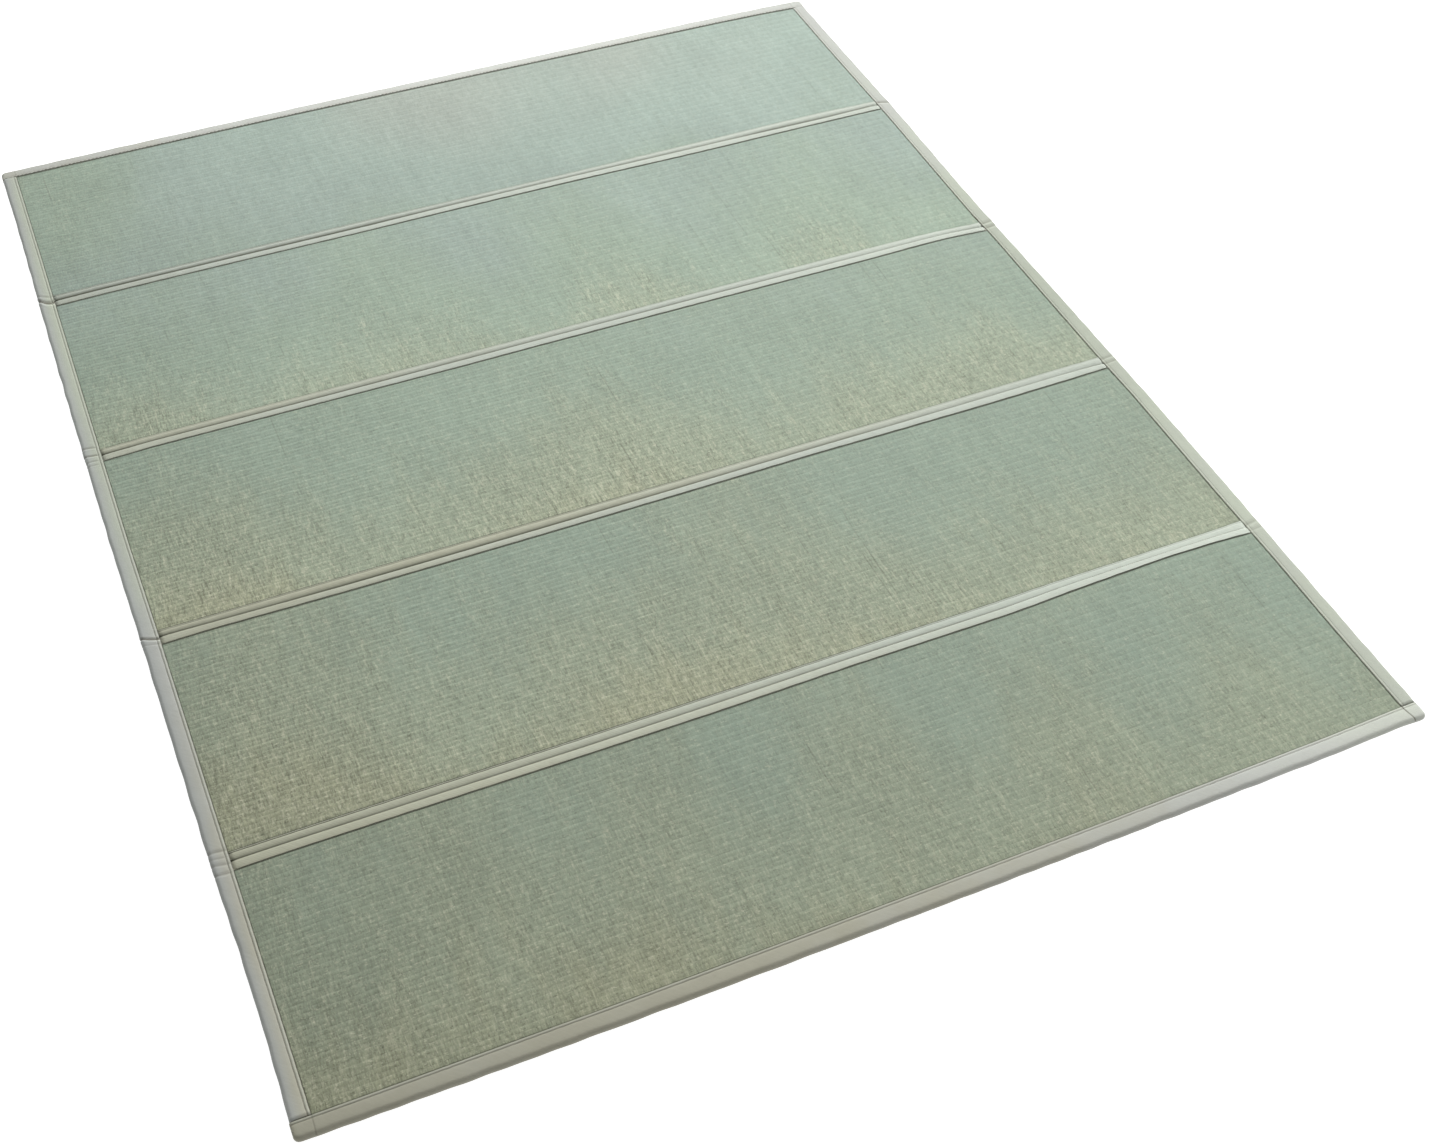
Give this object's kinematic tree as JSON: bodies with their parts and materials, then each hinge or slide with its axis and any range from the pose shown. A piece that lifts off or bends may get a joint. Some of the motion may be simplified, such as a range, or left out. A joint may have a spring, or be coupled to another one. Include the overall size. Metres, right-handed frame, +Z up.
{
  "type": "folding rush mat",
  "caption": "Flat folding rush mat lying open: ribbed rush panels joined by padded cloth fold tapes, with cloth bindings wrapped round all its edges.",
  "frame": {"origin": "centre of the mat's underside, on the surface it lies on", "axes": "+X along the folds, +Y across the folds towards the far end, +Z up out of the rush face"},
  "size_m": [1.606, 2.104, 0.0123],
  "materials": {
    "rush": "ribbed woven rush, green-grey fading to straw, low sheen",
    "fold_tape": "pale beige ribbed cloth tape, matte",
    "binding": "pale grey-green cloth tape with a sewn hem, matte"
  },
  "bodies": {
    "root": {"panel_1": "rush", "panel_2": "rush", "panel_3": "rush", "panel_4": "rush", "panel_5": "rush", "fold_tape_1": "fold_tape", "fold_tape_2": "fold_tape", "fold_tape_3": "fold_tape", "fold_tape_4": "fold_tape", "side_binding_left": "binding", "side_binding_right": "binding", "end_binding_far": "binding", "end_binding_near": "binding"}
  },
  "joints": []
}
